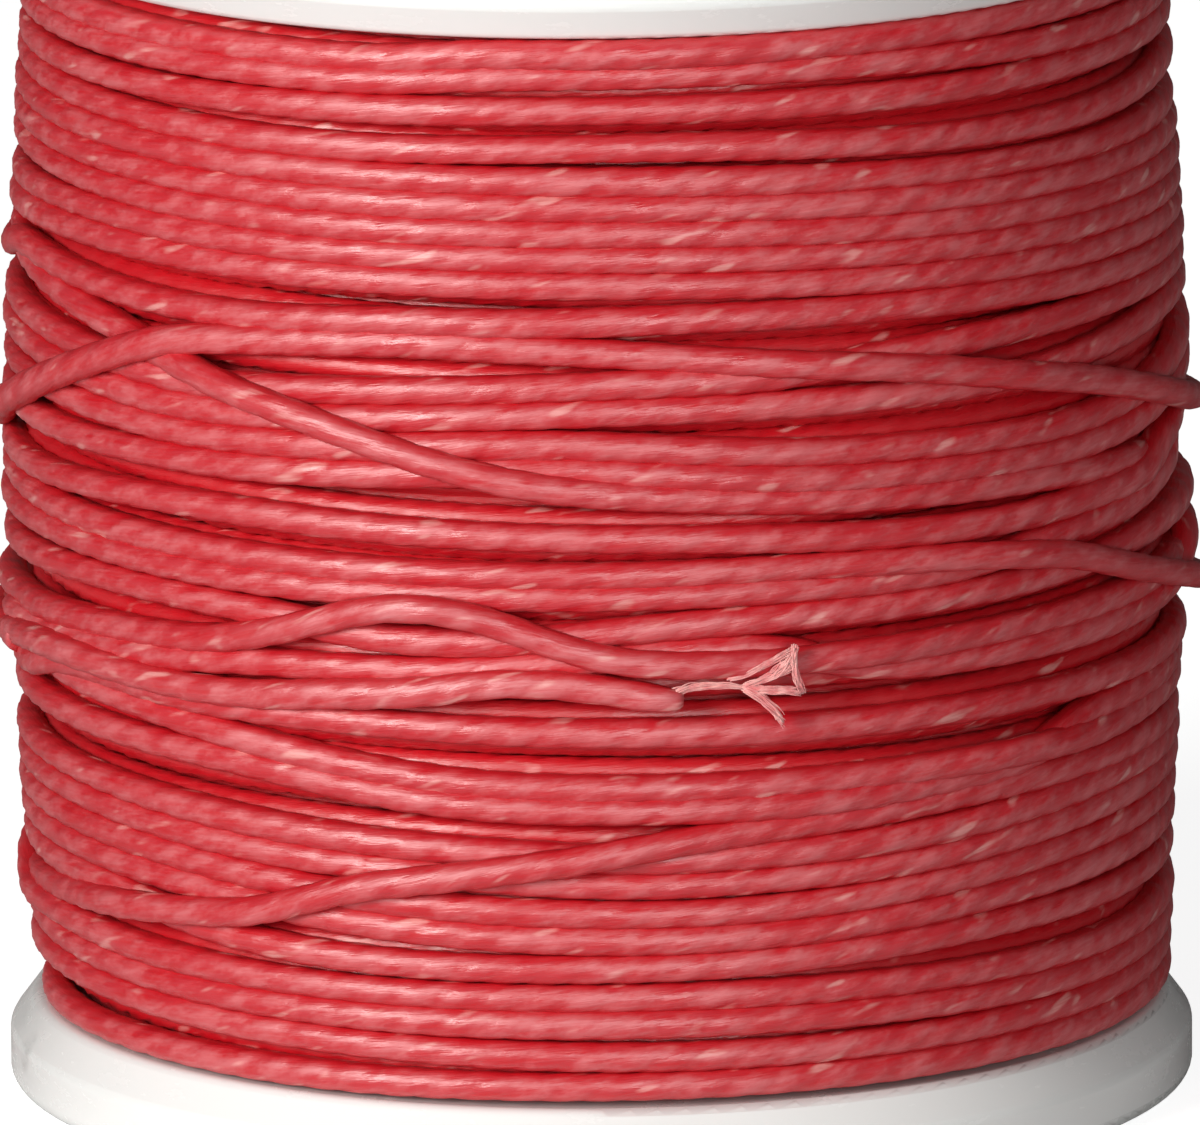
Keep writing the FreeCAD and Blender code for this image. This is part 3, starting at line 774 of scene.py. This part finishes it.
# The loose end's cord gets thin and pale towards its cut end, with painted highlight where it
# rises over the turns.
endAlong = lastTurn * turnLength + np.concatenate([[0.0], np.cumsum(endSteps)])
endOutward = endLine * np.array([1.0, 1.0, 0.0])
endOutward /= np.linalg.norm(endOutward, axis=1, keepdims=True)
toTip = endAlong[-1] - endAlong
narrowing = 1.0 - np.sqrt(1.0 - np.clip(1.0 - toTip / looseEnd["taper"], 0, 1) ** 2)
taper = 1.0 - (1.0 - looseEnd["endShare"]) * narrowing
fromStart = np.clip((endAlong - endAlong[0]) / cord["lap"], 0.0, 1.0)
taper = taper - cord["lapShrink"] * (1.0 - fromStart)
wearAndHighlight = np.full(len(toTip), looseEnd["wearAndHighlight"])
for middle, wide, amount in looseEnd["paleAndHighlightFromTip"]:
    wearAndHighlight = wearAndHighlight + amount * np.exp(-(((toTip - middle) / wide) ** 2))
rings, places, facing = tubeRings(endLine, endOutward, endAlong, cord, cord["sides"], taper)
looseCord = meshFromRings("loose_end", rings, places, facing, cordMaterial, wearAndHighlight)
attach(looseCord, "root")
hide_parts("cord_loose_end")

# Tufts of bare fibre: how many, reach of the bundle at its foot and at its end, and the way it
# takes, as steps across, outward and up from the place where the thread spreads.
frayed = {
    "spreadsAt": (13.7, 20.28, 17.42),  # angle, radius and height
    "tufts": (
        (40, 0.10, 0.07, (
            (-2.45, -0.35, -0.22), (-1.75, -0.15, 0.16), (-0.9, -0.10, 0.14), (0.15, 0, -0.05),
        )),
        (14, 0.16, 0.10, (
            (-2.6, -0.30, -0.20), (-2.2, -0.20, 0.0), (-1.8, -0.10, 0.06), (-1.3, -0.10, 0.12),
        )),
        (75, 0.10, 0.17, (
            (0.0, 0.0, 0.0), (0.55, 0.10, -0.30), (0.90, 0.12, -0.75), (1.22, 0.15, -1.20),
        )),
        (60, 0.09, 0.14, (
            (0.0, 0.0, 0.0), (0.60, 0.15, -0.10), (1.25, 0.20, -0.14), (1.90, 0.20, -0.22),
        )),
        (45, 0.07, 0.12, (
            (-0.5, 0.0, 0.30), (0.30, 0.10, 0.46), (0.85, 0.25, 0.90), (1.68, 0.30, 1.28),
        )),
        (45, 0.07, 0.15, (
            (0.0, 0.0, 0.0), (0.55, 0.20, 0.25), (1.05, 0.30, 0.42), (1.62, 0.28, 0.68),
        )),
        (80, 0.13, 0.12, (
            (1.62, 0.30, 1.28), (1.54, 0.32, 0.80), (1.66, 0.32, 0.32), (1.88, 0.24, -0.20),
        )),
        (30, 0.14, 0.10, (
            (0.85, 0.22, 0.4), (1.18, 0.30, 0.6), (1.45, 0.32, 0.85), (1.64, 0.30, 1.22),
        )),
    ),
    "lengths": (0.78, 1.04),  # of a fibre, as a share of its tuft's
    "twist": 2.5,
    "slip": 0.05,
    "kink": 0.035,
    "waves": (4, 8),
    "flatness": 0.7,
    "fibreRadius": 0.026,
    "thickness": (0.7, 1.3),
    "thinEnd": 0.5,
    "rings": 16,
    "sides": 5,
    "seed": 3,
}


def makeFrayedPlies(settings, tip):
    rng = np.random.RandomState(settings["seed"])
    outward = tip * np.array([1.0, 1.0, 0.0])
    outward /= np.linalg.norm(outward)
    upward = np.array([0.0, 0.0, 1.0])
    across = np.cross(upward, outward)
    frameOfTip = np.stack([across, outward, upward])
    share = np.linspace(0.0, 1.0, settings["rings"])
    corner = np.arange(settings["sides"])
    vertices, faces = [], []
    for fibres, foot, end, steps in settings["tufts"]:
        knots = np.array(steps) @ frameOfTip
        for _ in range(fibres):
            reach = share * rng.uniform(*settings["lengths"])
            late, early = reach[:, None], 1.0 - reach[:, None]
            way = early**3 * knots[0] + 3 * early**2 * late * knots[1]
            way = way + 3 * early * late**2 * knots[2] + late**3 * knots[3]
            turn = rng.uniform(0, fullTurn)
            apart = math.sqrt(rng.uniform(0, 1)) * (foot + (end - foot) * reach)
            slip = rng.normal() * settings["slip"]
            twisted = turn + settings["twist"] * reach
            sideways = np.cos(twisted) * apart * settings["flatness"]
            upwards = np.sin(twisted) * apart
            kink = rng.normal(size=3) * settings["kink"]
            wave = np.sin(reach * rng.uniform(*settings["waves"]) + rng.uniform(0, fullTurn))
            points = tip + way + sideways[:, None] * outward + upwards[:, None] * upward
            points = points + kink * wave[:, None] + across * slip
            tangents = np.gradient(points, axis=0)
            tangents /= np.linalg.norm(tangents, axis=1, keepdims=True)
            side = np.cross(tangents, outward)
            side /= np.linalg.norm(side, axis=1, keepdims=True)
            out = np.cross(side, tangents)
            thick = settings["fibreRadius"] * rng.uniform(*settings["thickness"])
            thick = thick * (1.0 - settings["thinEnd"] * share**3)
            around = fullTurn * corner / settings["sides"]
            rings = points[:, None] + thick[:, None, None] * (
                np.cos(around)[None, :, None] * side[:, None]
                + np.sin(around)[None, :, None] * out[:, None]
            )
            base = len(vertices)
            vertices.extend((rings.reshape(-1, 3) * millimetre).tolist())
            count = settings["sides"]
            for ring in range(settings["rings"] - 1):
                for c in range(count):
                    a = base + ring * count + c
                    b = base + ring * count + (c + 1) % count
                    faces.append((a, b, b + count, a + count))
            faces.append(tuple(base + c for c in corner[::-1]))
            faces.append(tuple(base + (settings["rings"] - 1) * count + c for c in corner))
    mesh = bpy.data.meshes.new("frayed_end")
    mesh.from_pydata(vertices, [], faces)
    mesh.shade_smooth()
    made = bpy.data.objects.new("frayed_end", mesh)
    bpy.context.scene.collection.objects.link(made)
    return made


fibreFinish = {
    "fibre": (0.74, 0.20, 0.20, 1),
    "pale": (0.88, 0.42, 0.39, 1),
    "mottling": 2600.0,
    "grain": 9000.0,
    "grainHeight": 0.00001,
}


def makeFibreMaterial(look):
    material, tree, shader = newMaterial("bareFibre")
    place = addNode(tree, "ShaderNodeTexCoord").outputs["Object"]
    mottled = noiseOf(tree, place, look["mottling"], 3.0)
    colour = mixColour(tree, between(tree, mottled, 0.35, 0.65), look["fibre"], look["pale"])
    feed(tree, colour, shader, "Base Color")
    feed(tree, between(tree, mottled, 0.3, 0.7, 0.6, 0.85), shader, "Roughness")
    setShader(shader, Sheen_Weight=0.4, Sheen_Roughness=0.5)
    bumpFrom(tree, shader, noiseOf(tree, place, look["grain"]), look["grainHeight"])
    return material


angle, radius, height = frayed["spreadsAt"]
frayedEnd = makeFrayedPlies(frayed, roundTheSpool(angle, radius, height))
frayedEnd.data.materials.append(makeFibreMaterial(fibreFinish))
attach(frayedEnd, "root")
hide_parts("frayed_plies")
print("loose end made")

# The cord's inner end goes through the barrel's hole and is knotted behind it.
innerEnd = {
    "height": 11.1,
    "startsAt": 11.2,  # just outside the barrel
    "knotMiddle": 8.3,
    "knotSize": 0.34,
    "knotPoints": 90,
    "knotGap": 4,  # points left out at the knot's two ends
    "runPoints": 14,
    "smoothing": 30,
    "sides": 12,
    "shrink": 0.8,  # pulled tight
}


def makeInnerEnd(settings):
    turn = np.linspace(-0.02, 1.02, settings["knotPoints"]) * fullTurn
    loop = settings["knotSize"] * np.stack([
        np.sin(turn) - 2 * np.sin(2 * turn),
        np.cos(turn) + 2 * np.cos(2 * turn),
        -1.5 * np.sin(3 * turn),
    ], axis=-1)
    centre = np.array([settings["knotMiddle"], 0.0, settings["height"]])
    knot = centre + loop[settings["knotGap"]:-settings["knotGap"]]
    start = np.array([settings["startsAt"], 0.0, settings["height"]])
    share = np.linspace(0.0, 1.0, settings["runPoints"])[:, None]
    run = start + (knot[0] - start) * share**0.9
    line = np.concatenate([run[:-1], knot])
    for _ in range(settings["smoothing"]):
        line[1:-1] += 0.4 * ((line[2:] + line[:-2]) / 2 - line[1:-1])
    outward = np.broadcast_to(np.array([0.05, 0.1, 1.0]), line.shape)
    steps = np.linalg.norm(np.diff(line, axis=0), axis=1)
    along = np.concatenate([[0.0], np.cumsum(steps)])
    sides, shrink = settings["sides"], settings["shrink"]
    rings, places, facing = tubeRings(line, outward, along, cord, sides, shrink)
    return meshFromRings("inner_end_knot", rings, places, facing, cordMaterial)


knot = makeInnerEnd(innerEnd)
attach(knot, "root")
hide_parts("cord_inner_end")

# The flanges, the barrel and the paper rings keep their shapes and get their surfaces here.
plasticFinish = {
    "white": (0.93, 0.94, 0.92, 1),
    "worn": (0.84, 0.85, 0.83, 1),
    "scuff": (0.30, 0.29, 0.28, 1),
    "rubAt": (-0.0193, -0.0046, 0.0017),  # a small grey rub on the lower rim's left side
    "rubSize": (0.0009, 0.0003),
    "clouds": 90.0,
    "rubs": 420.0,
    "marks": 260.0,
    "roughness": (0.16, 0.34),
    "unevenness": 0.00008,
}


def makePlasticMaterial(look):
    material, tree, shader = newMaterial("glossyWhitePlastic")
    place = addNode(tree, "ShaderNodeTexCoord").outputs["Object"]
    cloudy = noiseOf(tree, place, look["clouds"], 3.0)
    rubbed = noiseOf(tree, stretched(tree, place, (1.0, 1.0, 3.0)), look["rubs"], 5.0, 0.65)
    marks = noiseOf(tree, stretched(tree, place, (1.0, 1.0, 6.0)), look["marks"], 6.0, 0.7)
    wornShare = between(tree, cloudy, 0.4, 0.75, 0.0, 0.35)
    colour = mixColour(tree, wornShare, look["white"], look["worn"])
    markShare = between(tree, marks, 0.70, 0.80, 0.0, 0.45)
    colour = mixColour(tree, markShare, colour, look["scuff"])
    inputs = {0: place, 1: look["rubAt"]}
    fromRub = addNode(tree, "ShaderNodeVectorMath", inputs, operation="DISTANCE")
    rub = between(tree, fromRub.outputs["Value"], *look["rubSize"])
    rub = sumOf(tree, rub, between(tree, rubbed, 0.35, 0.6, 0.1, 0.55), "MULTIPLY")
    feed(tree, mixColour(tree, rub, colour, look["scuff"]), shader, "Base Color")
    feed(tree, between(tree, rubbed, 0.35, 0.75, *look["roughness"]), shader, "Roughness")
    setShader(shader, Coat_Weight=0.25, Coat_Roughness=0.12)
    height = sumOf(tree, cloudy, sumOf(tree, rubbed, 0.15, "MULTIPLY"))
    bumpFrom(tree, shader, height, look["unevenness"], 0.4)
    return material


paperFinish = {
    "sheet": (0.80, 0.77, 0.69, 1),
    "fibre": (0.62, 0.57, 0.48, 1),
    "pulp": 900.0,
    "strands": 1500.0,
    "strandHeight": 0.00003,
}


def makePaperMaterial(look):
    material, tree, shader = newMaterial("barePaper")
    place = addNode(tree, "ShaderNodeTexCoord").outputs["Object"]
    pulp = noiseOf(tree, place, look["pulp"], 6.0, 0.7)
    strands = noiseOf(tree, stretched(tree, place, (1.0, 4.0, 1.0)), look["strands"], 3.0)
    pulpShare = between(tree, pulp, 0.45, 0.75, 0.0, 0.6)
    feed(tree, mixColour(tree, pulpShare, look["sheet"], look["fibre"]), shader, "Base Color")
    feed(tree, between(tree, strands, 0.3, 0.7, 0.75, 0.95), shader, "Roughness")
    bumpFrom(tree, shader, sumOf(tree, pulp, strands), look["strandHeight"], 0.6)
    return material


def dress(name, material):
    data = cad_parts[name].data
    data.materials.clear()
    data.materials.append(material)


plastic = makePlasticMaterial(plasticFinish)
paper = makePaperMaterial(paperFinish)
for name in ("lower_flange", "upper_flange", "barrel"):
    dress(name, plastic)
for name in ("lower_label", "upper_label"):
    dress(name, paper)
print("flanges, barrel and paper rings finished")

# Floor, lamps and a white background.
studio = {
    "floorSize": 6.0,  # in metres
    "floorBelow": 0.00002,
    "floorColour": (0.72, 0.72, 0.72, 1),
    "floorGlow": 0.84,
    "ambient": 0.06,
    "aim": (0.0, 0.0, 0.019),
    "lamps": (  # angle, elevation, distance in metres, size in metres, watts, colour
        ("key", -42.0, 17.0, 0.70, 0.30, 4.2, (1.0, 0.99, 0.97)),
        ("fill", 11.0, 8.0, 0.90, 0.36, 3.0, (1.0, 1.0, 1.0)),
    ),
}


def makeStudio(settings):
    world = bpy.data.worlds.new("studioWorld")
    world.use_nodes = True
    bpy.context.scene.world = world
    tree = world.node_tree
    tree.nodes.clear()
    white = {"Color": (1, 1, 1, 1), "Strength": 1.0}
    dim = {"Color": (1, 1, 1, 1), "Strength": settings["ambient"]}
    shares = {
        0: addNode(tree, "ShaderNodeLightPath").outputs["Is Camera Ray"],
        1: addNode(tree, "ShaderNodeBackground", dim).outputs[0],
        2: addNode(tree, "ShaderNodeBackground", white).outputs[0],
    }
    both = addNode(tree, "ShaderNodeMixShader", shares)
    output = addNode(tree, "ShaderNodeOutputWorld")
    tree.links.new(both.outputs[0], output.inputs[0])

    half = settings["floorSize"] / 2
    mesh = bpy.data.meshes.new("floor")
    low = -settings["floorBelow"]
    corners = [(-half, -half, low), (half, -half, low), (half, half, low), (-half, half, low)]
    mesh.from_pydata(corners, [], [(0, 1, 2, 3)])
    floor = bpy.data.objects.new("floor", mesh)
    bpy.context.scene.collection.objects.link(floor)
    material, tree, shader = newMaterial("paleFloor")
    grain = noiseOf(tree, addNode(tree, "ShaderNodeTexCoord").outputs["Object"], 40.0, 3.0)
    shade = tuple(0.97 * part for part in settings["floorColour"][:3]) + (1,)
    feed(tree, mixColour(tree, grain, settings["floorColour"], shade), shader, "Base Color")
    setShader(shader, Roughness=0.9, Specular_IOR_Level=0.0, Emission_Color=(1, 1, 1, 1))
    rays = addNode(tree, "ShaderNodeLightPath")
    glow = sumOf(tree, rays.outputs["Is Camera Ray"], settings["floorGlow"], "MULTIPLY")
    feed(tree, glow, shader, "Emission Strength")
    mesh.materials.append(material)

    aim = Vector(settings["aim"])
    for name, angle, elevation, distance, wide, watts, colour in settings["lamps"]:
        data = bpy.data.lights.new(name, "AREA")
        data.shape = "DISK"
        data.size = wide
        data.energy = watts
        data.color = colour
        lamp = bpy.data.objects.new(name, data)
        bpy.context.scene.collection.objects.link(lamp)
        a, e = math.radians(angle), math.radians(elevation)
        away = Vector((math.sin(a) * math.cos(e), -math.cos(a) * math.cos(e), math.sin(e)))
        lamp.location = aim + away * distance
        lamp.rotation_mode = "QUATERNION"
        lamp.rotation_quaternion = (-away).to_track_quat("-Z", "Y")


makeStudio(studio)
bpy.context.scene.view_settings.view_transform = "Standard"
print("studio made")
